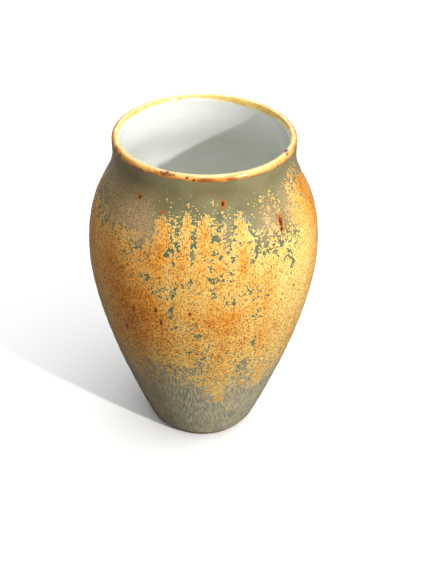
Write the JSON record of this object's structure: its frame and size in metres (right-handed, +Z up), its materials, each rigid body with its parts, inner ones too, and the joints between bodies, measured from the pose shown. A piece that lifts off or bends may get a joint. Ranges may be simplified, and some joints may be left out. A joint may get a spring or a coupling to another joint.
{
  "type": "bud vase",
  "caption": "Small ovoid stoneware vase with a wide mouth, short neck, rounded lip and narrow turned foot, glazed olive with a run amber coat and a pale liner.",
  "frame": {"origin": "centre of the foot ring's standing face, on the surface that the vase stands on", "axes": "+Z up along the axis the vase was turned on. X and Y are level, and the side at -Y faces the viewer"},
  "size_m": [0.0848, 0.0848, 0.125],
  "materials": {
    "bare_clay": "matt fired stoneware, fine grained, with the rings of turning",
    "liner_glaze": "glossy pale bluish white glaze",
    "olive_glaze": "glossy olive to grey-green glaze",
    "amber_glaze": "glossy mottled amber and ochre glaze that has run, with iron spots",
    "ochre_glaze": "glossy ochre yellow glaze"
  },
  "bodies": {
    "root": {"clay_body": "bare_clay", "liner_glaze": "liner_glaze", "base_glaze": "olive_glaze", "flowing_glaze": "amber_glaze", "lip_glaze": "ochre_glaze"}
  },
  "joints": []
}
